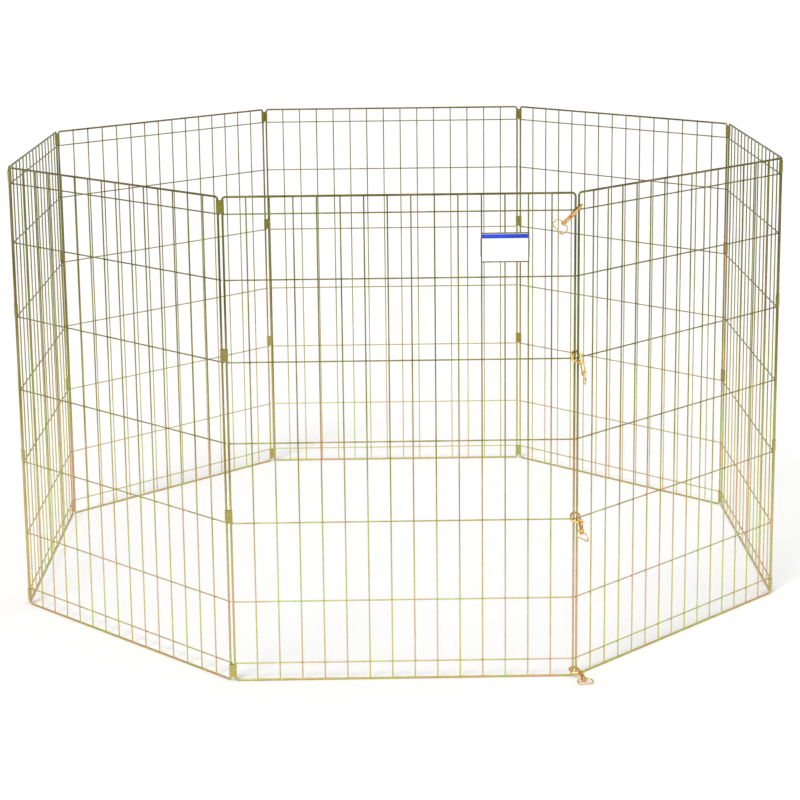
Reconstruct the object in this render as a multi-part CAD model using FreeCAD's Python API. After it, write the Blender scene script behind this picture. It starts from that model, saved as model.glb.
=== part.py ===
import FreeCAD, Part
import math
import os
from FreeCAD import Matrix, Vector

# A folding wire pet playpen.  Eight identical welded wire panels stand in an octagon.
# Seven corners are closed by sheet steel clips that hold two upright rods side by side,
# so each corner turns about both rods.  The eighth corner, beside the door panel, is
# closed by four bolt snaps.  Everything is in millimetres, +Z is up, and the origin is
# the middle of the pen on the floor.

INCH = 25.4

# ---- Driving dimensions ----------------------------------------------------------------
panel_width = 25 * INCH
panel_height = 36 * INCH
frame_rod = 4.0                  # diameter of the bent outer rod
mesh_wire = 2.6                  # diameter of the uprights and rails
bays = 15                        # gaps across a panel, so 14 uprights
corner_bend = 6.5                # bend radius of the outer rod, on its centre line
rail_steps = [1.25, 4.75, 6, 6, 6, 6, 4.75]   # inches, downwards from the top rod
weld_bite = 0.4                  # how far two welded wires sink into each other
upright_bite = 0.3
rail_overhang = 1.3              # how far a rail passes the side rod's centre line

clip_pitch = 9.0                 # between the two rods that a hinge clip holds
snap_pitch = 7.0                 # between the two rods that the bolt snaps hold
clip_length = 24.0
clip_sheet = 0.8
clip_play = 0.3                  # clearance round each rod
clip_waist = 1.7                 # half of the gap inside the clip at its pinched middle
clip_seam = 0.6                  # slit where the wrapped sheet meets itself

panel_count = 8

# ---- Values that follow from them ------------------------------------------------------
rod_r = frame_rod / 2
wire_r = mesh_wire / 2
span = panel_width - frame_rod           # between a panel's two side rods
rise = panel_height - frame_rod          # between its top and bottom rods
bay = span / bays
low_z = rod_r
high_z = low_z + rise
rail_y = -(rod_r + wire_r - weld_bite)           # rails lie on the inside of the pen
upright_y = rail_y + mesh_wire - upright_bite    # uprights lie on the rails' outer side
rail_drop = [INCH * sum(rail_steps[:n + 1]) for n in range(len(rail_steps))]
rail_scale = (rise - rail_steps[0] * INCH) / rail_drop[-1]
rail_z = [high_z - drop * rail_scale for drop in rail_drop]
half_turn = 180.0 / panel_count          # each seam turns by this at each of its two rods
half_rad = math.radians(half_turn)
apothem = (span / 2 * math.cos(half_rad) + clip_pitch / 2) / math.sin(half_rad)
seam_radius = apothem * math.cos(half_rad) + span / 2 * math.sin(half_rad)
# The snapped corner is tighter than the clipped ones, so the corner across the pen
# from it is closed a little more.
closing_turn = math.degrees((clip_pitch - snap_pitch) / (2 * seam_radius))

# How far the pen folds.  The snaps keep neighbouring panels this far from closing flat.
fold_stop = 8.0
outward_fold = (180.0 + 2 * half_turn - fold_stop) / 2     # at each rod of an outward seam
inward_fold = (180.0 - 2 * half_turn - fold_stop) / 2      # at each rod of an inward seam
door_stop = 5.0
door_swing = (180.0 + 2 * half_turn - door_stop) / 2

# ---- Bolt snaps ------------------------------------------------------------------------
barrel_r = 3.8
barrel_length = 22.5
barrel_foot = 1.5                # the cone that narrows the barrel down to its post
lip_proud = 0.3                  # the thicker rim round the barrel's mouth
lip_height = 3.0
bolt_r = 2.2
bore_r = 2.4
bore_depth = 19.5
bolt_reach = 7.4                 # how far the closed bolt stands out of the barrel
bolt_tail = 9.5
bolt_travel = 5.4
bolt_rounding = 0.8
stud_r = 1.3
stud_z = -4.5
stud_reach = 7.8                 # from the bolt's axis to the end of the thumb stud
knob_r = 1.8
slot_play = 0.3
foot_rim = 0.8                   # how far the foot of the barrel stands out round the post
hook_wire_r = 2.1
hook_root = Vector(2.8, 0, -6.2)         # the hook starts inside the barrel
hook_knee = Vector(12.4, 0, -1.8)        # and slants out to here
hook_back_z = 4.0                # from here up the hook's back is parallel to the barrel
knee_bulge = 1.1                 # how far the bend between them swells outwards
hook_r = 8.25                    # bend radius at the top of the hook
hook_side = 2 * hook_r           # the hook's back, measured from the barrel's axis
hook_straight = 10.0             # where the bend at the top starts
hook_tip = 7.8                   # the hook ends here, just above the closed bolt
ring_z = 8.0                     # the two rods pass the ring at this height
slant_ring_z = 7.2               # and at this height in the snap that lies along the door
post_r = 2.1
post_length = 5.5
post_head = 1.4                  # the head on the post stands this proud, and is this thick
collar_r = 4.6
collar_play = 0.2
bail_wire_r = 1.3
bail_half = 14.0                 # half of the width of the strap loop
bail_bend = 4.0
bail_z = -43.5
bail_shoulder = Vector(5.5, 0, 0.9)      # in from the loop's side and down from the collar
bail_elbow = Vector(1.4, 0, 3.1)
bail_wrist_drop = 7.2
spring_wire_r = 0.35
spring_turns = 5
spring_play = 0.15

post_top = -barrel_length - barrel_foot
post_low = post_top - post_length

# ---- Name tag --------------------------------------------------------------------------
tag_width = 87.0
tag_height = 54.0
tag_drop = 70.0                  # below the top rod
tag_first_upright = 2            # counted from the snapped corner
tag_last_upright = 4
holder_sheet = 0.6
card_thick = 0.8
card_play = 0.1
tag_play = 0.15
tray_lip = 2.0                   # how far the holder's folded lip reaches over the card
curl_share = 0.6                 # the part of the tag's height that its two curls cover


def cylinder(radius, start, end):
    """A round bar from one point to another."""
    along = end - start
    return Part.makeCylinder(radius, along.Length, start, along)


def tube_along(wire, radius):
    """A round bar that follows a wire of lines and arcs."""
    edge = wire.OrderedEdges[0]
    start = edge.valueAt(edge.FirstParameter)
    heading = edge.tangentAt(edge.FirstParameter)
    if edge.Orientation == "Reversed":
        start = edge.valueAt(edge.LastParameter)
        heading = edge.tangentAt(edge.LastParameter) * -1
    profile = Part.Wire([Part.makeCircle(radius, start, heading)])
    return wire.makePipeShell([profile], True, True)


def line(a, b):
    return Part.LineSegment(a, b).toShape()


def arc(a, middle, b):
    return Part.Arc(a, middle, b).toShape()


# ---- Panels ----------------------------------------------------------------------------
# A panel is drawn with its starting side rod on the Z axis, its other side rod at
# x = span, and +Y towards the outside of the pen.

def panel_frame():
    """The outer rod: four straight runs joined by four bends."""
    bars = []
    left, right = corner_bend, span - corner_bend
    bottom, top = low_z + corner_bend, high_z - corner_bend
    for z in (low_z, high_z):
        bars.append(cylinder(rod_r, Vector(left, 0, z), Vector(right, 0, z)))
    for x in (0, span):
        bars.append(cylinder(rod_r, Vector(x, 0, bottom), Vector(x, 0, top)))
    for x, z, first in ((right, top, 0), (right, bottom, 90), (left, bottom, 180), (left, top, 270)):
        bend = Part.makeTorus(corner_bend, rod_r, Vector(), Vector(0, 0, 1), -180, 180, 90)
        # stand the quarter ring up in the panel's plane, then turn it to its corner
        bend.rotate(Vector(), Vector(1, 0, 0), 90)
        bend.rotate(Vector(), Vector(0, 1, 0), first)
        bend.translate(Vector(x, 0, z))
        bars.append(bend)
    return bars[0].fuse(bars[1:]).removeSplitter()


def panel_uprights():
    """The inner upright wires, each welded to the top and bottom rods."""
    wires = []
    for n in range(1, bays):
        x = n * bay
        foot = Vector(x, upright_y, low_z + weld_bite)
        head = Vector(x, upright_y, high_z - weld_bite)
        wires.append(cylinder(wire_r, foot, head))
    return Part.makeCompound(wires)


def panel_rails():
    """The level wires, each lapped over both side rods on the inside."""
    wires = []
    for z in rail_z:
        start = Vector(-rail_overhang, rail_y, z)
        end = Vector(span + rail_overhang, rail_y, z)
        wires.append(cylinder(wire_r, start, end))
    return Part.makeCompound(wires)


# ---- Hinge clips -----------------------------------------------------------------------
# A clip is drawn upright with its two rod centres at x = +-clip_pitch / 2, its foot at
# z = 0 and +Y towards the outside of the pen.

def waisted_face(end_r, waist):
    """A flat outline with two round ends joined by sides that curve in to the waist."""
    c = clip_pitch / 2
    side_r = (c * c + waist * waist - end_r * end_r) / (2 * (end_r - waist))
    side_y = side_r + waist
    lean = math.atan2(side_y, -c)
    touch_x = c + end_r * math.cos(lean)
    touch_y = end_r * math.sin(lean)
    edges = [
        arc(Vector(touch_x, -touch_y, 0), Vector(c + end_r, 0, 0), Vector(touch_x, touch_y, 0)),
        arc(Vector(touch_x, touch_y, 0), Vector(0, waist, 0), Vector(-touch_x, touch_y, 0)),
        arc(Vector(-touch_x, touch_y, 0), Vector(-c - end_r, 0, 0), Vector(-touch_x, -touch_y, 0)),
        arc(Vector(-touch_x, -touch_y, 0), Vector(0, -waist, 0), Vector(touch_x, -touch_y, 0)),
    ]
    return Part.Face(Part.Wire(edges))


def hinge_clip():
    """A strip of sheet steel wrapped round both rods and pinched between them."""
    inner_r = rod_r + clip_play
    outer = waisted_face(inner_r + clip_sheet, clip_waist + clip_sheet)
    inner = waisted_face(inner_r, clip_waist)
    sleeve = outer.cut(inner).extrude(Vector(0, 0, clip_length))
    reach = clip_waist + 2 * clip_sheet
    slit = Part.makeBox(clip_seam, reach, clip_length, Vector(-clip_seam / 2, -reach, 0))
    return sleeve.cut(slit)


def clip_feet():
    """Where the four clips of a seam start: three stand on rails, one sits below the last."""
    above = [rail_z[n] + wire_r + clip_play for n in (0, 2, 4)]
    below = rail_z[-1] - wire_r - clip_play - clip_length
    return above + [below]


def seam_clips():
    clips = []
    for z in clip_feet():
        clip = hinge_clip()
        clip.translate(Vector(0, 0, z))
        clips.append(clip)
    return Part.makeCompound(clips)


# ---- Bolt snaps ------------------------------------------------------------------------
# A snap is drawn hanging: the barrel's axis is Z with its mouth at z = 0, the hook is
# above it in the XZ plane, and the thumb stud points to -X.

def snap_hook():
    """The barrel, the hook that grows out of its side, and the post for the strap loop."""
    side = Vector(hook_side, 0, hook_back_z)
    bend_start = Vector(hook_side, 0, hook_straight)
    crown = Vector(hook_r, 0, hook_straight + hook_r)
    bend_end = Vector(0, 0, hook_straight)
    tip = Vector(0, 0, hook_tip)
    slope = (hook_knee - hook_root).normalize()
    mid = (hook_knee + side) * 0.5 + Vector(slope.z, 0, -slope.x) * knee_bulge
    path = Part.Wire([
        line(hook_root, hook_knee),
        arc(hook_knee, mid, side),
        line(side, bend_start),
        arc(bend_start, crown, bend_end),
        line(bend_end, tip),
    ])
    hook = tube_along(path, hook_wire_r)
    barrel = Part.makeCylinder(barrel_r, barrel_length, Vector(0, 0, -barrel_length))
    lip = Part.makeCylinder(barrel_r + lip_proud, lip_height, Vector(0, 0, -lip_height))
    foot = Part.makeCone(post_r + foot_rim, barrel_r, barrel_foot, Vector(0, 0, post_top))
    post = Part.makeCylinder(post_r, post_length, Vector(0, 0, post_low))
    head = Part.makeCylinder(post_r + post_head, post_head, Vector(0, 0, post_low - post_head))
    body = barrel.fuse([lip, foot, post, head, hook])
    bore = Part.makeCylinder(bore_r, bore_depth, Vector(0, 0, -bore_depth))
    slot_half = stud_r + slot_play
    slot_low = stud_z - bolt_travel
    slot = Part.makeBox(2 * barrel_r, 2 * slot_half, stud_z - slot_low,
                        Vector(-2 * barrel_r, -slot_half, slot_low))
    slot_ends = [
        Part.makeCylinder(slot_half, 2 * barrel_r, Vector(-2 * barrel_r, 0, z), Vector(1, 0, 0))
        for z in (slot_low, stud_z)
    ]
    return body.cut(bore.fuse([slot] + slot_ends)).removeSplitter()


def snap_bolt():
    """The sliding bolt with its thumb stud."""
    bolt = Part.makeCylinder(bolt_r, bolt_tail + bolt_reach, Vector(0, 0, -bolt_tail))
    rim = [e for e in bolt.Edges if abs(e.BoundBox.ZMin - bolt_reach) < 0.01 and e.Closed]
    bolt = bolt.makeFillet(bolt_rounding, rim)
    knob_middle = Vector(knob_r - stud_reach, 0, stud_z)
    stem = cylinder(stud_r, Vector(0, 0, stud_z), knob_middle)
    knob = Part.makeSphere(knob_r, knob_middle)
    return bolt.fuse([stem, knob]).removeSplitter()


def snap_spring():
    """The coil spring between the bolt's tail and the bottom of the bore."""
    length = bore_depth - bolt_tail - 2 * spring_play - 2 * spring_wire_r
    coil_r = bore_r - spring_wire_r - spring_play
    helix = Part.makeHelix(length / spring_turns, length, coil_r)
    helix = Part.Wire(helix.Edges)
    start = helix.Edges[0].valueAt(helix.Edges[0].FirstParameter)
    heading = helix.Edges[0].tangentAt(helix.Edges[0].FirstParameter)
    profile = Part.Wire([Part.makeCircle(spring_wire_r, start, heading)])
    coil = helix.makePipeShell([profile], True, True)
    coil.translate(Vector(0, 0, -bore_depth + spring_play + spring_wire_r))
    return coil


def snap_eye():
    """The collar that turns on the post, with the strap loop welded to it."""
    collar_low = post_low + collar_play
    collar_high = post_top - collar_play
    height = collar_high - collar_low
    collar = Part.makeCylinder(collar_r, height, Vector(0, 0, collar_low))
    mid_z = (collar_low + collar_high) / 2
    outermost = Vector(bail_half, 0, mid_z)
    shoulder = outermost - bail_shoulder
    elbow = outermost - bail_elbow
    wrist = outermost - Vector(0, 0, bail_wrist_drop)
    side_end = Vector(bail_half, 0, bail_z + bail_bend)
    bar_end = Vector(bail_half - bail_bend, 0, bail_z)
    swing = bail_bend * (1 - math.sqrt(0.5))
    corner = Vector(bail_half - swing, 0, bail_z + swing)

    def other(p):
        return Vector(-p.x, p.y, p.z)

    root = Vector(post_r + post_head, 0, mid_z)
    path = Part.Wire([
        line(root, shoulder),
        arc(shoulder, elbow, wrist),
        line(wrist, side_end),
        arc(side_end, corner, bar_end),
        line(bar_end, other(bar_end)),
        arc(other(bar_end), other(corner), other(side_end)),
        line(other(side_end), other(wrist)),
        arc(other(wrist), other(elbow), other(shoulder)),
        line(other(shoulder), other(root)),
    ])
    bail = tube_along(path, bail_wire_r)
    hole = Part.makeCylinder(post_r + collar_play, height, Vector(0, 0, collar_low))
    return collar.fuse(bail).cut(hole).removeSplitter()


# ---- Name tag --------------------------------------------------------------------------

def tag_box():
    """The tag's left edge, right edge, foot and top, in the door panel's own frame."""
    middle = (tag_first_upright + tag_last_upright) / 2 * bay
    top = high_z - tag_drop
    return middle - tag_width / 2, middle + tag_width / 2, top - tag_height, top


def tag_back():
    return upright_y + wire_r + tag_play


def tag_slab(inset, back, front):
    """A flat block inside the tag's outline, from one depth to another."""
    left, right, foot, top = tag_box()
    return Part.makeBox(right - left - 2 * inset, front - back, top - foot - 2 * inset,
                        Vector(left + inset, back, foot + inset))


def tag_depth():
    return 2 * holder_sheet + card_thick + 2 * card_play


def tag_holder():
    """A sheet steel tray with a folded lip, curled round two uprights at its back."""
    left, right, foot, top = tag_box()
    back = tag_back()
    depth = tag_depth()
    tray = tag_slab(0, back, back + depth)
    pocket = tag_slab(holder_sheet, back + holder_sheet, back + depth - holder_sheet)
    window = tag_slab(tray_lip, back + holder_sheet + card_thick, back + 2 * depth)
    tray = tray.cut(pocket.fuse(window))
    curl_in = wire_r + tag_play
    curl_height = tag_height * curl_share
    curl_foot = (foot + top - curl_height) / 2
    curls = []
    for n, away in ((tag_first_upright, -1), (tag_last_upright, 1)):
        centre = Vector(n * bay, upright_y, curl_foot)
        ring = Part.makeCylinder(curl_in + holder_sheet, curl_height, centre)
        ring = ring.cut(Part.makeCylinder(curl_in, curl_height, centre))
        reach = 2 * (curl_in + holder_sheet)
        mouth = Part.makeBox(reach, reach, curl_height, centre + Vector(0, -reach, 0))
        if away < 0:
            mouth.translate(Vector(-reach, 0, 0))
        curls.append(ring.cut(mouth))
    return tray.fuse(curls).removeSplitter()


def tag_card():
    """A moulded card: its edge is held under the lip, and its face fills the window."""
    back = tag_back() + holder_sheet + card_play
    front = tag_back() + tag_depth()
    edge = tag_slab(holder_sheet + card_play, back, back + card_thick)
    face = tag_slab(tray_lip + card_play, back, front)
    return edge.fuse(face).removeSplitter()


# ---- Where everything stands -----------------------------------------------------------

def placement(position, x_dir, y_dir, z_dir):
    """The matrix that carries a part's own axes onto three given directions."""
    m = Matrix(x_dir.x, y_dir.x, z_dir.x, position.x,
               x_dir.y, y_dir.y, z_dir.y, position.y,
               x_dir.z, y_dir.z, z_dir.z, position.z,
               0, 0, 0, 1)
    return m


def heading_vector(degrees):
    a = math.radians(degrees)
    return Vector(math.cos(a), math.sin(a), 0)


def seam_turn(seam):
    """How far the walk round the pen turns at each rod of a seam, clockwise from above."""
    across_from_snaps = panel_count // 2
    if seam == across_from_snaps:
        return half_turn + closing_turn / 2
    return half_turn


def lay_out():
    """Walk round the pen from panel 5, which stands square at the back.

    Gives each panel's starting rod and heading, and each seam's heading, by number.
    Seam n joins the end of panel n to the start of panel n + 1.
    """
    fixed = panel_count // 2 + 1
    start = {fixed: Vector(-span / 2, apothem, 0)}
    heading = {fixed: 0.0}
    seam_heading = {}
    for n in range(fixed, panel_count):
        turn = seam_turn(n)
        end = start[n] + heading_vector(heading[n]) * span
        seam_heading[n] = heading[n] - turn
        start[n + 1] = end + heading_vector(seam_heading[n]) * clip_pitch
        heading[n + 1] = seam_heading[n] - turn
    for n in range(fixed - 1, 0, -1):
        turn = seam_turn(n)
        seam_heading[n] = heading[n + 1] + turn
        end = start[n + 1] - heading_vector(seam_heading[n]) * clip_pitch
        heading[n] = seam_heading[n] + turn
        start[n] = end - heading_vector(heading[n]) * span
    return start, heading, seam_heading


starts, headings, seam_headings = lay_out()
up = Vector(0, 0, 1)


def rod_start(n):
    return starts[n]


def rod_end(n):
    return starts[n] + heading_vector(headings[n]) * span


def stand(shape, position, heading):
    """A part drawn along +X with +Y outside, stood where it belongs."""
    x_dir = heading_vector(heading)
    placed = shape.copy()
    placed.transformShape(placement(position, x_dir, up.cross(x_dir), up), True)
    return placed


def panel_name(n):
    return "door_panel" if n == 1 else "panel_%d" % n


def clips_name(n):
    return "hinge_clips_%d_%d" % (n, n + 1)


# The corner that the snaps close: the door panel's free rod and the last panel's.
door_rod = rod_start(1)
latch_rod = rod_end(panel_count)
seam_across = (latch_rod - door_rod).normalize()
seam_out = seam_across.cross(up)
seam_middle = (door_rod + latch_rod) * 0.5


class SnapPose:
    """Where a snap hangs.

    Its ring passes round a point midway between the two rods.  It turns there, about its
    own X axis, when its strap loop is lifted.
    """

    def __init__(self, height, ring_height, out_dir, tilt):
        lean = math.radians(tilt)
        self.z_dir = up * math.cos(lean) - out_dir * math.sin(lean)
        self.x_dir = out_dir.cross(up)
        self.y_dir = self.z_dir.cross(self.x_dir)
        self.pivot = seam_middle + up * height
        self.position = self.pivot - self.turned(Vector(hook_r, 0, ring_height))

    def turned(self, p):
        return self.x_dir * p.x + self.y_dir * p.y + self.z_dir * p.z

    def at(self, p):
        return self.position + self.turned(p)

    def place(self, shape):
        placed = shape.copy()
        matrix = placement(self.position, self.x_dir, self.y_dir, self.z_dir)
        placed.transformShape(matrix, True)
        return placed


out_heading = math.degrees(math.atan2(seam_out.y, seam_out.x))

# Height, place in the ring, heading and tilt of each snap.  The three lower ones point
# out of the pen, a little towards the door's front; the lowest lies near the floor.
snap_poses = {
    # lies along the front of the door panel, with its loop hanging to the left
    "top": SnapPose(rail_z[0] + 1.5, slant_ring_z, heading_vector(headings[1]), 46.0),
    "upper": SnapPose(rail_z[2] + 4.0, ring_z, heading_vector(out_heading - 12.0), 38.0),
    "lower": SnapPose(rail_z[4] + 4.0, ring_z, heading_vector(out_heading - 20.0), 54.0),
    "bottom": SnapPose(11.5, ring_z, heading_vector(out_heading - 11.0), 81.0),
}
eye_turn = {"top": 90.0, "upper": 80.0, "lower": 38.0, "bottom": 0.0}


def build():
    """Every node's shape, by name."""
    nodes = {}
    frame, uprights, rails = panel_frame(), panel_uprights(), panel_rails()
    for n in range(1, panel_count + 1):
        name = panel_name(n)
        for what, shape in (("frame", frame), ("uprights", uprights), ("rails", rails)):
            nodes[name + "_" + what] = stand(shape, starts[n], headings[n])
    clips = seam_clips()
    for n in range(1, panel_count):
        middle = (rod_end(n) + rod_start(n + 1)) * 0.5
        nodes[clips_name(n)] = stand(clips, middle, seam_headings[n])
    hook, bolt, spring, eye = snap_hook(), snap_bolt(), snap_spring(), snap_eye()
    for where, pose in snap_poses.items():
        nodes[where + "_snap_hook"] = pose.place(hook)
        nodes[where + "_snap_bolt"] = pose.place(bolt)
        nodes[where + "_snap_spring"] = pose.place(spring)
        turned_eye = eye.copy()
        turned_eye.rotate(Vector(), up, eye_turn[where])
        nodes[where + "_snap_eye"] = pose.place(turned_eye)
    nodes["tag_holder"] = stand(tag_holder(), starts[1], headings[1])
    nodes["tag_card"] = stand(tag_card(), starts[1], headings[1])
    return nodes


os.makedirs("parts", exist_ok=True)
all_nodes = build()
for node, shape in all_nodes.items():
    shape.exportStep("parts/" + node + ".step")

# Facts that the joints need, in mm and degrees.
print("a rod at an outward corner turns", outward_fold)
print("a rod at an inward corner turns", inward_fold)
print("a rod at the corner across from the snaps opens", half_turn)
print("a rod at the door turns", door_swing)
print("a bolt slides", bolt_travel)
for where, pose in snap_poses.items():
    print("the", where, "snap lifts about", tuple(pose.pivot), "along", tuple(pose.x_dir))
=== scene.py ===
import math
import random

import bmesh
import bpy
from mathutils import Matrix, Vector


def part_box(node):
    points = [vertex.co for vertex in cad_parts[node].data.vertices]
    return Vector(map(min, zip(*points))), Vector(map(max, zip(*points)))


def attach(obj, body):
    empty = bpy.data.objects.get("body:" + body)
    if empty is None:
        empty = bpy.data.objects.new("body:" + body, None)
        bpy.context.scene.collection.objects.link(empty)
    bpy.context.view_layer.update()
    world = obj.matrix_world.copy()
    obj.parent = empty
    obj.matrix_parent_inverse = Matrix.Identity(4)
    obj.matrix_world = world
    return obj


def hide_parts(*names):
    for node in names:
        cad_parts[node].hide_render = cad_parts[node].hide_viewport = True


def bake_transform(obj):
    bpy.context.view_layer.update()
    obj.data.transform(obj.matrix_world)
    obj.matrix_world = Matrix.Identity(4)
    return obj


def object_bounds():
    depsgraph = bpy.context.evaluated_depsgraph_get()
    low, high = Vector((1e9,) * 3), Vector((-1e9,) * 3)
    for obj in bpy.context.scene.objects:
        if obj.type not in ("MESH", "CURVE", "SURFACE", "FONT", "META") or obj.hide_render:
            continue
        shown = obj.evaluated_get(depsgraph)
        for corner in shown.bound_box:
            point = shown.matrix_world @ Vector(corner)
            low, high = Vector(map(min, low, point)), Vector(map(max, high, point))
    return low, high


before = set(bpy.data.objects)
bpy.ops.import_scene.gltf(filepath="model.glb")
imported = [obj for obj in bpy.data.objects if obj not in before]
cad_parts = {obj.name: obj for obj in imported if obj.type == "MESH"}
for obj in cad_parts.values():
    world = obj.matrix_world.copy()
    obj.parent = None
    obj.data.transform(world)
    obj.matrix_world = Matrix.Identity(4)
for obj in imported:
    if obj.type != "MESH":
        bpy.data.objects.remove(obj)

CAD_LOW, CAD_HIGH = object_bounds()

# The looks of a folding wire pet playpen.  The CAD parts get their plate and print, the
# wires get weld lumps, the bolt snaps get the soft edges of castings and copies of their
# springs, and the pen stands on a pale floor in soft light.

# ---- Sizes in metres, beyond what the frame itself holds --------------------------------
WIRE_GAP = 0.010                 # wires further apart than this are different wires
WELD_RADIUS = 0.0019             # the lump of metal where two wires are welded
WELD_SIZES = (0.85, 1.1)         # the smallest and largest lump, as a share of that
WELD_FLATNESS = 0.72             # a lump's depth, as a share of its width
SIDE_WELD_TALLNESS = 0.62        # low enough to stay clear of the clip beside it
END_WELD_TALLNESS = 0.84         # low enough not to stand out past the top or bottom rod
WELD_ROUGHNESS = 0.00022         # how far its surface wanders in and out
WELD_DETAIL = 2                  # subdivisions of the lump's mesh
SAME_POINT = 1e-6                # vertices closer than this are one vertex
CAST_VOXEL = 0.00034             # the mesh size of a casting
CAST_SMOOTHING = 5               # how many times its edges are softened
CAST_SOFTENING = 0.5             # and by how much each time
FLOOR_HALF = 90.0                # half of the floor's width
RANDOM_SEED = 11

# ---- Camera, in metres and degrees ------------------------------------------------------
CAMERA_PLACE = (-0.032, -4.448, 1.435)
CAMERA_YAW = -0.52
CAMERA_PITCH = 11.54             # downwards
CAMERA_ROLL = -0.63
CAMERA_LENS = 93.5               # in millimetres
CAMERA_SENSOR = 36.0             # in millimetres
CAMERA_SHIFT = -0.10
CAMERA_REACH = 500.0             # how far it sees

# ---- Light ------------------------------------------------------------------------------
SKY_AT_HORIZON = 0.45
SKY_ABOVE = 0.62
SKY_FULL_HEIGHT = 0.8            # from this far up, of 1 overhead, the sky is fully bright

# ---- Plate colours ----------------------------------------------------------------------
# The plate's base colour carries painted light by height: a pale painted highlight low down and a
# dark painted shade high up.
PAINTED_LIGHT_LEVELS = (0.15, 0.48, 0.78)     # where up the pen the low, middle and high colours lie
TINT_LEVELS = (0.15, 0.55, 0.95)
TINT_STRENGTHS = (0.85, 0.35, 0.22)   # the tints are strongest near the floor
DIRT_SHARE = 0.7
FINE_BUMP = 0.0002                    # how tall the finest bumps are

# ---- Tag --------------------------------------------------------------------------------
BAND_LOW = (0.812, 0.819)             # the printed band's lower edge, of 1 up the card
BAND_HIGH = (0.958, 0.965)            # and its upper edge

# A colour mix node has its sockets for other types under the same names, so it takes numbers.
MIX_SHARE, MIX_FIRST, MIX_SECOND, MIX_RESULT = 0, 6, 7, 2

PANELS = ["door_panel"] + ["panel_%d" % n for n in range(2, 9)]
SNAPS = ["top_snap", "upper_snap", "lower_snap", "bottom_snap"]

random.seed(RANDOM_SEED)


# ---- Materials ---------------------------------------------------------------------------

def paint(code):
    """A linear colour from its usual six-digit code."""
    out = []
    for place in (0, 2, 4):
        value = int(code[place:place + 2], 16) / 255
        if value <= 0.04045:
            out.append(value / 12.92)
        else:
            out.append(((value + 0.055) / 1.055) ** 2.4)
    return (out[0], out[1], out[2], 1.0)


class Finish:
    """A material with a few helpers that add nodes to it."""

    def __init__(self, name):
        self.material = bpy.data.materials.new(name)
        self.material.use_nodes = True
        self.tree = self.material.node_tree
        self.shader = self.tree.nodes["Principled BSDF"]
        self.place = self.add("ShaderNodeTexCoord").outputs["Object"]

    def add(self, kind):
        return self.tree.nodes.new(kind)

    def join(self, source, target):
        self.tree.links.new(source, target)

    def value(self, name, amount):
        self.shader.inputs[name].default_value = amount

    def noise(self, stretch, detail=3.0, roughness=0.55):
        """Noise in the object's own space.  stretch is its frequency along X, Y and Z."""
        mapping = self.add("ShaderNodeMapping")
        mapping.inputs["Scale"].default_value = stretch
        self.join(self.place, mapping.inputs["Vector"])
        node = self.add("ShaderNodeTexNoise")
        node.inputs["Scale"].default_value = 1.0
        node.inputs["Detail"].default_value = detail
        node.inputs["Roughness"].default_value = roughness
        self.join(mapping.outputs["Vector"], node.inputs["Vector"])
        return node.outputs["Fac"]

    def level(self):
        """Z in the object's own space."""
        split = self.add("ShaderNodeSeparateXYZ")
        self.join(self.place, split.inputs["Vector"])
        return split.outputs["Z"]

    def figure(self, operation, first, second):
        """A sum, such as DIVIDE, on two values.  second may be a plain number."""
        node = self.add("ShaderNodeMath")
        node.operation = operation
        self.join(first, node.inputs[0])
        if isinstance(second, bpy.types.NodeSocket):
            self.join(second, node.inputs[1])
        else:
            node.inputs[1].default_value = second
        return node.outputs["Value"]

    def height(self):
        """0 at the floor and 1 at the top of the pen."""
        return self.figure("DIVIDE", self.level(), CAD_HIGH[2])

    def ramp(self, source, stops):
        """A colour ramp.  stops holds pairs of place and colour."""
        node = self.add("ShaderNodeValToRGB")
        elements = node.color_ramp.elements
        while len(elements) < len(stops):
            elements.new(0.5)
        for element, (where, colour) in zip(elements, stops):
            element.position = where
            element.color = colour
        self.join(source, node.inputs["Fac"])
        return node.outputs["Color"]

    def blend(self, share, first, second, kind="MIX"):
        """first where share is 0, and second over it, or by kind, where share is 1.

        Each of the three may be a plain value.
        """
        node = self.add("ShaderNodeMix")
        node.data_type = "RGBA"
        node.blend_type = kind
        for number, given in ((MIX_SHARE, share), (MIX_FIRST, first), (MIX_SECOND, second)):
            if isinstance(given, bpy.types.NodeSocket):
                self.join(given, node.inputs[number])
            else:
                node.inputs[number].default_value = given
        return node.outputs[MIX_RESULT]

    def spread(self, source, low, high, to_low, to_high):
        """The source's value, moved from the range low to high into to_low to to_high."""
        node = self.add("ShaderNodeMapRange")
        node.inputs["From Min"].default_value = low
        node.inputs["From Max"].default_value = high
        node.inputs["To Min"].default_value = to_low
        node.inputs["To Max"].default_value = to_high
        self.join(source, node.inputs["Value"])
        return node.outputs["Result"]

    def grain(self, scale, strength):
        """Fine bumps."""
        bump = self.add("ShaderNodeBump")
        bump.inputs["Strength"].default_value = strength
        bump.inputs["Distance"].default_value = FINE_BUMP
        self.join(self.noise((scale, scale, scale)), bump.inputs["Height"])
        self.join(bump.outputs["Normal"], self.shader.inputs["Normal"])

    def uneven_gloss(self, scale, low, high):
        """Roughness that wanders between two values."""
        gloss = self.spread(self.noise((scale, scale, scale)), 0.0, 1.0, low, high)
        self.join(gloss, self.shader.inputs["Roughness"])


def grey(level):
    return (level, level, level, 1.0)


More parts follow.
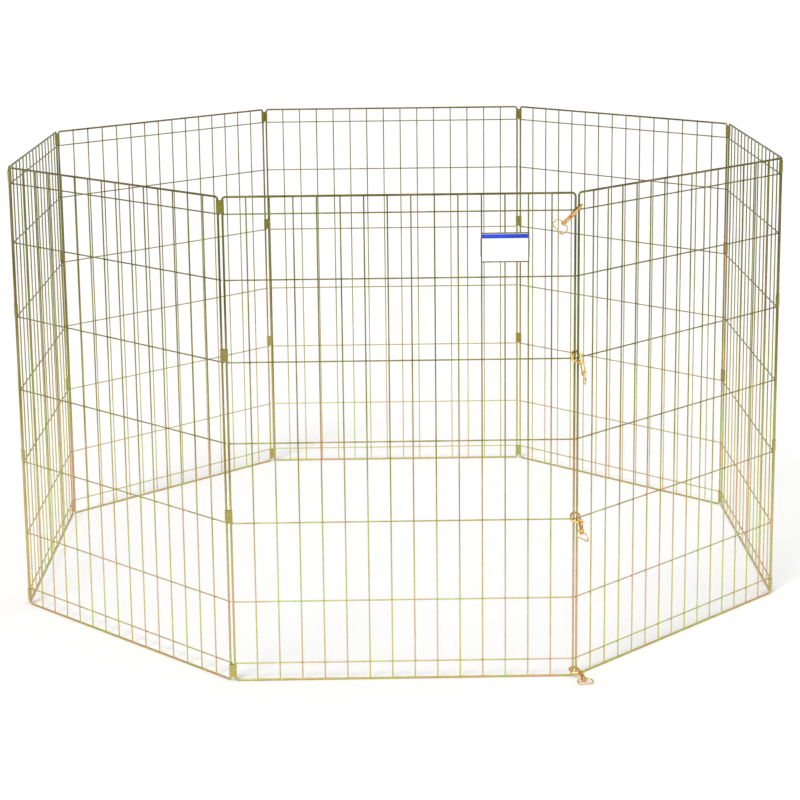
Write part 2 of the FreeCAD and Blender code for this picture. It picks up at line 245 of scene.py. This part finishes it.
def chromate(name, high, middle, low, warm, cool, gloss):
    """Yellow-chromate zinc plate.

    It is darkest and most even near the top of the pen, a painted shade, and paler lower down,
    a painted highlight: light and shade painted by height into the base colour.  Thin-film
    tints, one warm and one cool, come and go along each wire.
    """
    finish = Finish(name)
    height = finish.height()
    # Painted light: high is the dark painted shade at the top and low is the pale painted
    # highlight near the floor, with middle between them.
    body = finish.ramp(height, list(zip(PAINTED_LIGHT_LEVELS, (paint(low), paint(middle), paint(high)))))
    streaks = finish.ramp(finish.noise((23.0, 23.0, 9.0)),
                          [(0.40, grey(0.0)), (0.62, grey(1.0))])
    tints = finish.blend(finish.ramp(finish.noise((9.0, 9.0, 4.0), 2.0),
                                     [(0.44, grey(0.0)), (0.56, grey(1.0))]),
                         paint(warm), paint(cool))
    strength = finish.ramp(height, [(level, grey(amount))
                                    for level, amount in zip(TINT_LEVELS, TINT_STRENGTHS)])
    colour = finish.blend(finish.figure("MULTIPLY", streaks, strength), body, tints)
    dirt = finish.ramp(finish.noise((160.0, 160.0, 160.0), 5.0),
                       [(0.25, grey(0.62)), (0.6, grey(1.0))])
    dirtied = finish.blend(DIRT_SHARE, colour, dirt, "MULTIPLY")
    finish.join(dirtied, finish.shader.inputs["Base Color"])
    finish.value("Metallic", 0.80)
    finish.value("Coat Weight", 0.35)
    finish.value("Coat Roughness", 0.22)
    finish.uneven_gloss(300.0, gloss - 0.08, gloss + 0.12)
    finish.grain(1400.0, 0.25)
    return finish.material


def cast_brass(name, light, dark, gloss):
    """Brassy chromate on a casting: darker in patches, with a fine cast grain."""
    finish = Finish(name)
    patches = finish.ramp(finish.noise((140.0, 140.0, 140.0), 4.0),
                          [(0.36, paint(dark)), (0.60, paint(light))])
    finish.join(patches, finish.shader.inputs["Base Color"])
    finish.value("Metallic", 0.95)
    finish.uneven_gloss(500.0, gloss - 0.06, gloss + 0.10)
    finish.grain(1800.0, 0.30)
    return finish.material


def weld_metal():
    """Where wires are welded the plate is duller and browner."""
    finish = Finish("weld")
    tone = finish.ramp(finish.noise((400.0, 400.0, 400.0), 3.0),
                       [(0.35, paint("5a4a18")), (0.65, paint("9c8438"))])
    finish.join(tone, finish.shader.inputs["Base Color"])
    finish.value("Metallic", 0.6)
    finish.uneven_gloss(700.0, 0.35, 0.6)
    finish.grain(2500.0, 0.4)
    return finish.material


def spring_steel():
    finish = Finish("spring_steel")
    tone = finish.ramp(finish.noise((900.0, 900.0, 900.0), 2.0),
                       [(0.3, paint("8e8f90")), (0.7, paint("c6c8ca"))])
    finish.join(tone, finish.shader.inputs["Base Color"])
    finish.value("Metallic", 1.0)
    finish.uneven_gloss(800.0, 0.2, 0.35)
    return finish.material


def card_print():
    """A white glossy card with a plain blue band near its top."""
    low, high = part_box("tag_card")
    finish = Finish("card_print")
    level = finish.spread(finish.level(), low[2], high[2], 0.0, 1.0)
    fibre = finish.ramp(finish.noise((300.0, 300.0, 300.0), 4.0),
                        [(0.3, paint("f0f1f4")), (0.7, paint("fbfbfd"))])
    band = finish.ramp(level, [(BAND_LOW[0], grey(0.0)), (BAND_LOW[1], grey(1.0)),
                               (BAND_HIGH[0], grey(1.0)), (BAND_HIGH[1], grey(0.0))])
    shade = finish.ramp(finish.noise((60.0, 60.0, 60.0), 2.0),
                        [(0.3, paint("0733bd")), (0.7, paint("1246e2"))])
    finish.join(finish.blend(band, fibre, shade), finish.shader.inputs["Base Color"])
    finish.value("Metallic", 0.0)
    finish.uneven_gloss(90.0, 0.18, 0.30)
    finish.grain(350.0, 0.06)
    return finish.material


def pale_floor():
    finish = Finish("pale_floor")
    tone = finish.ramp(finish.noise((1.5, 1.5, 1.5), 2.0),
                       [(0.3, paint("f7f7f7")), (0.7, paint("fbfbfb"))])
    finish.join(tone, finish.shader.inputs["Base Color"])
    finish.value("Roughness", 0.9)
    finish.value("Specular IOR Level", 0.1)
    return finish.material


# The first three colours of each plate go from a dark painted shade at the top to a pale painted
# highlight near the floor; the tag sheet has one colour throughout.
rod_finish = chromate("zinc_rod", "605b00", "9a8412", "d2bb60", "e4ac90", "b4d470", 0.34)
wire_finish = chromate("zinc_wire", "726f04", "9e8f22", "d8c76c", "ecb8a4", "c0e480", 0.38)
clip_finish = chromate("clip_sheet", "7e770e", "98851e", "c8b15a", "d8a47a", "b4c870", 0.30)
holder_finish = chromate("tag_sheet", "6c6428", "6c6428", "6c6428", "a08848", "7f8440", 0.36)
cast_finish = cast_brass("snap_cast", "f9cd84", "c88a34", 0.27)
turned_finish = cast_brass("snap_turned", "fbda94", "d29a48", 0.22)
weld_finish = weld_metal()
spring_finish = spring_steel()
card_finish = card_print()


def finish_of(node):
    if node == "tag_card":
        return card_finish
    if node == "tag_holder":
        return holder_finish
    if node.startswith("hinge_clips"):
        return clip_finish
    if node.endswith("_spring"):
        return spring_finish
    if node.endswith("_hook"):
        return cast_finish
    if "_snap_" in node:
        return turned_finish
    if node.endswith("_frame"):
        return rod_finish
    return wire_finish


def coat(piece, finish):
    piece.data.materials.clear()
    piece.data.materials.append(finish)


def new_object(name, data):
    made = bpy.data.objects.new(name, data)
    bpy.context.scene.collection.objects.link(made)
    return made


for node_name, node_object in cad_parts.items():
    coat(node_object, finish_of(node_name))


# ---- Welds -------------------------------------------------------------------------------

def middles(values):
    """The middle of each group of values that lie close together."""
    found = []
    values = sorted(values)
    first = values[0]
    for before, after in zip(values, values[1:] + [math.inf]):
        if after - before > WIRE_GAP:
            found.append((first + before) / 2)
            first = after
    return found


class Panel:
    """Where one panel's wires are, read from its nodes."""

    def __init__(self, name):
        rails = [v.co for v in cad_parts[name + "_rails"].data.vertices]
        uprights = [v.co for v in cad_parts[name + "_uprights"].data.vertices]
        rods = [v.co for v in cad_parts[name + "_frame"].data.vertices]
        centre = sum(rails, Vector()) / len(rails)
        far = max(rails, key=lambda p: (p - centre).xy.length)
        reach = (far - centre).xy.normalized()
        spread = [p for p in rails if (p - centre).xy.dot(reach) > 0]
        end = sum(spread, Vector()) / len(spread)
        self.along = Vector((end.x - centre.x, end.y - centre.y, 0)).normalized()
        self.out = self.along.cross(Vector((0, 0, 1)))
        if self.out.dot(centre) < 0:
            self.out = -self.out
        self.rail_levels = middles([p.z for p in rails])
        self.rail_depth = self.middle(rails, self.out)
        self.upright_places = middles([p.dot(self.along) for p in uprights])
        self.upright_depth = self.middle(uprights, self.out)
        self.rod_depth = self.middle(rods, self.out)
        rod_radius = max(p.dot(self.out) for p in rods) - self.rod_depth
        places = [p.dot(self.along) for p in rods]
        self.side_places = [min(places) + rod_radius, max(places) - rod_radius]
        levels = [p.z for p in rods]
        self.end_levels = [min(levels) + rod_radius, max(levels) - rod_radius]

    def middle(self, points, direction):
        spread = [p.dot(direction) for p in points]
        return (min(spread) + max(spread)) / 2

    def point(self, place, depth, level):
        return self.along * place + self.out * depth + Vector((0, 0, level))

    def welds(self):
        """Every point where two wires are welded, with how tall the lump there is."""
        mesh_depth = (self.rail_depth + self.upright_depth) / 2
        side_depth = (self.rail_depth + self.rod_depth) / 2
        end_depth = (self.upright_depth + self.rod_depth) / 2
        spots = []
        for level in self.rail_levels:
            spots += [(self.point(place, mesh_depth, level), 1.0) for place in self.upright_places]
            spots += [(self.point(place, side_depth, level), SIDE_WELD_TALLNESS)
                      for place in self.side_places]
        for level in self.end_levels:
            spots += [(self.point(place, end_depth, level), END_WELD_TALLNESS)
                      for place in self.upright_places]
        return spots


def weld_lump(body, point, tallness, panel):
    """One lump of weld metal: a flattened, uneven bead that lies across two wires."""
    size = WELD_RADIUS * random.uniform(*WELD_SIZES)
    turn = Matrix((panel.along, panel.out, Vector((0, 0, 1)))).transposed().to_4x4()
    stretch = Matrix.Diagonal((size, size * WELD_FLATNESS, size * tallness, 1.0))
    matrix = Matrix.Translation(point) @ turn @ stretch
    made = bmesh.ops.create_icosphere(body, subdivisions=WELD_DETAIL, radius=1.0,
                                       matrix=matrix)
    for vertex in made["verts"]:
        vertex.co += (vertex.co - point).normalized() * random.uniform(-1, 1) * WELD_ROUGHNESS


def add_object(name, mesh, finish, body_name):
    piece = new_object(name, mesh)
    coat(piece, finish)
    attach(piece, body_name)
    return piece


for panel_name in PANELS:
    panel = Panel(panel_name)
    lumps = bmesh.new()
    for weld_point, weld_tallness in panel.welds():
        weld_lump(lumps, weld_point, weld_tallness, panel)
    weld_mesh = bpy.data.meshes.new(panel_name + "_welds")
    lumps.to_mesh(weld_mesh)
    lumps.free()
    for polygon in weld_mesh.polygons:
        polygon.use_smooth = True
    add_object(panel_name + "_welds", weld_mesh, weld_finish, panel_name)


# ---- Bolt snaps --------------------------------------------------------------------------

def as_cast(node, body_name):
    """The node's shape with the soft edges and filled corners of a casting."""
    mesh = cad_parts[node].data.copy()
    rough = new_object(node + "_rough", mesh)
    welded = bmesh.new()
    welded.from_mesh(mesh)
    bmesh.ops.remove_doubles(welded, verts=welded.verts, dist=SAME_POINT)
    welded.to_mesh(mesh)
    welded.free()
    remesh = rough.modifiers.new("remesh", "REMESH")
    remesh.mode = "VOXEL"
    remesh.voxel_size = CAST_VOXEL
    remesh.use_smooth_shade = True
    smooth = rough.modifiers.new("smooth", "SMOOTH")
    smooth.factor = CAST_SOFTENING
    smooth.iterations = CAST_SMOOTHING
    bpy.context.view_layer.update()
    shape = rough.evaluated_get(bpy.context.evaluated_depsgraph_get())
    finished = bpy.data.meshes.new_from_object(shape)
    bpy.data.objects.remove(rough)
    piece = add_object(node + "_cast", finished, finish_of(node), body_name)
    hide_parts(node)


def as_spring(snap):
    """A copy of the spring inside the barrel, in place of its node."""
    node = snap + "_spring"
    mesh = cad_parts[node].data.copy()
    piece = new_object(node + "_coil", mesh)
    coat(piece, finish_of(node))
    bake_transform(piece)
    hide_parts(node)


for snap in SNAPS:
    as_spring(snap)
    as_cast(snap + "_hook", snap)
    as_cast(snap + "_bolt", snap + "_bolt")
    as_cast(snap + "_eye", snap + "_eye")


# ---- Floor, light and camera -------------------------------------------------------------

def floor():
    mesh = bpy.data.meshes.new("floor")
    level = CAD_LOW[2]
    corners = [(-FLOOR_HALF, -FLOOR_HALF, level), (FLOOR_HALF, -FLOOR_HALF, level),
               (FLOOR_HALF, FLOOR_HALF, level), (-FLOOR_HALF, FLOOR_HALF, level)]
    mesh.from_pydata(corners, [], [(0, 1, 2, 3)])
    piece = new_object("floor", mesh)
    coat(piece, pale_floor())


def sky():
    """Soft white light from above that is dimmer at the horizon."""
    world = bpy.data.worlds.new("studio")
    bpy.context.scene.world = world
    world.use_nodes = True
    tree = world.node_tree
    back = tree.nodes["Background"]
    back.inputs["Color"].default_value = grey(1.0)
    coordinates = tree.nodes.new("ShaderNodeTexCoord")
    split = tree.nodes.new("ShaderNodeSeparateXYZ")
    tree.links.new(coordinates.outputs["Generated"], split.inputs["Vector"])
    level = tree.nodes.new("ShaderNodeMapRange")
    level.inputs["From Min"].default_value = 0.0
    level.inputs["From Max"].default_value = SKY_FULL_HEIGHT
    level.inputs["To Min"].default_value = SKY_AT_HORIZON
    level.inputs["To Max"].default_value = SKY_ABOVE
    tree.links.new(split.outputs["Z"], level.inputs["Value"])
    tree.links.new(level.outputs["Result"], back.inputs["Strength"])


def sun(name, direction, strength, softness):
    """A sun that shines along direction.  softness is its width in degrees."""
    light = bpy.data.lights.new(name, "SUN")
    light.energy = strength
    light.angle = math.radians(softness)
    lamp = new_object(name, light)
    lamp.rotation_euler = Vector(direction).to_track_quat("-Z", "Y").to_euler()


def camera():
    """Looks a little down on the pen from the door's side."""
    yaw = math.radians(CAMERA_YAW)
    pitch = math.radians(CAMERA_PITCH)
    roll = math.radians(CAMERA_ROLL)
    ahead = Vector((-math.sin(yaw) * math.cos(pitch), math.cos(yaw) * math.cos(pitch),
                    -math.sin(pitch)))
    level_right = Vector((math.cos(yaw), math.sin(yaw), 0))
    level_up = level_right.cross(ahead)
    right = level_right * math.cos(roll) + level_up * math.sin(roll)
    top = right.cross(ahead)
    data = bpy.data.cameras.new("camera")
    data.sensor_width = CAMERA_SENSOR
    data.lens = CAMERA_LENS
    data.shift_y = CAMERA_SHIFT
    data.clip_end = CAMERA_REACH
    eye = new_object("camera", data)
    turn = Matrix((right, top, -ahead)).transposed().to_4x4()
    eye.matrix_world = Matrix.Translation(Vector(CAMERA_PLACE)) @ turn
    bpy.context.scene.camera = eye


floor()
sky()
sun("key_light", (0.45, 0.75, -1.0), 1.5, 20.0)
sun("fill_light", (-0.6, 0.3, -0.8), 0.7, 70.0)
camera()
bpy.context.scene.view_settings.view_transform = "Standard"
